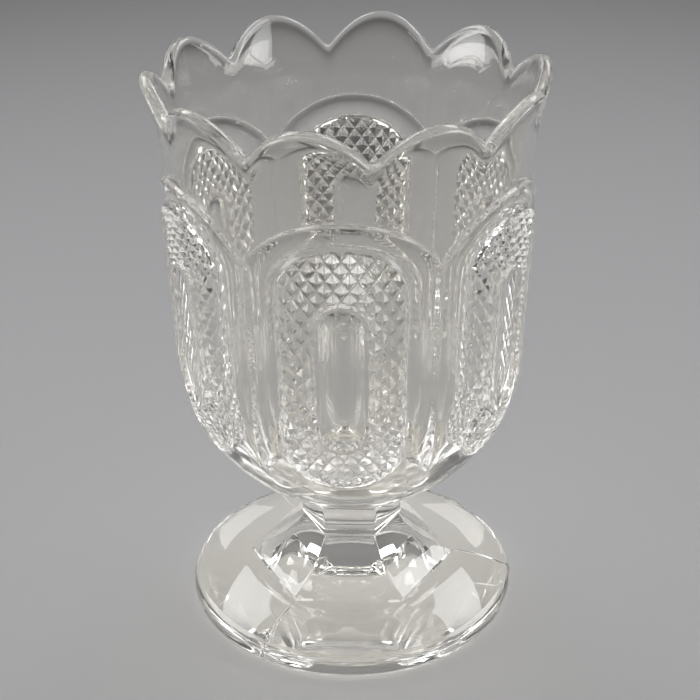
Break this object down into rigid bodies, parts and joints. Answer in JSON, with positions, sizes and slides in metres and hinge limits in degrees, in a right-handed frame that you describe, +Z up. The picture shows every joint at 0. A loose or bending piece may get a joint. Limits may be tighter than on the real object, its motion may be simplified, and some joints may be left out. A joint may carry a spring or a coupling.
{
  "type": "sugar bowl",
  "caption": "Clear pressed-glass footed sugar bowl without a lid: scalloped rim, arched panels of diamond points round long ovals, six-sided knop, and a round foot with a six-sided tent",
  "frame": {"origin": "On the axis of the bowl, in the plane that the foot stands on.", "axes": "+Z is up along the bowl's axis. -Y faces the middle of one arched panel."},
  "size_m": [0.0892, 0.0892, 0.1355],
  "materials": {
    "clear_glass": "clear pressed glass with a faint warm grey tint, fire-polished, slightly wavy"
  },
  "bodies": {
    "root": {"bowl": "clear_glass", "knop": "clear_glass", "foot": "clear_glass"}
  },
  "joints": []
}
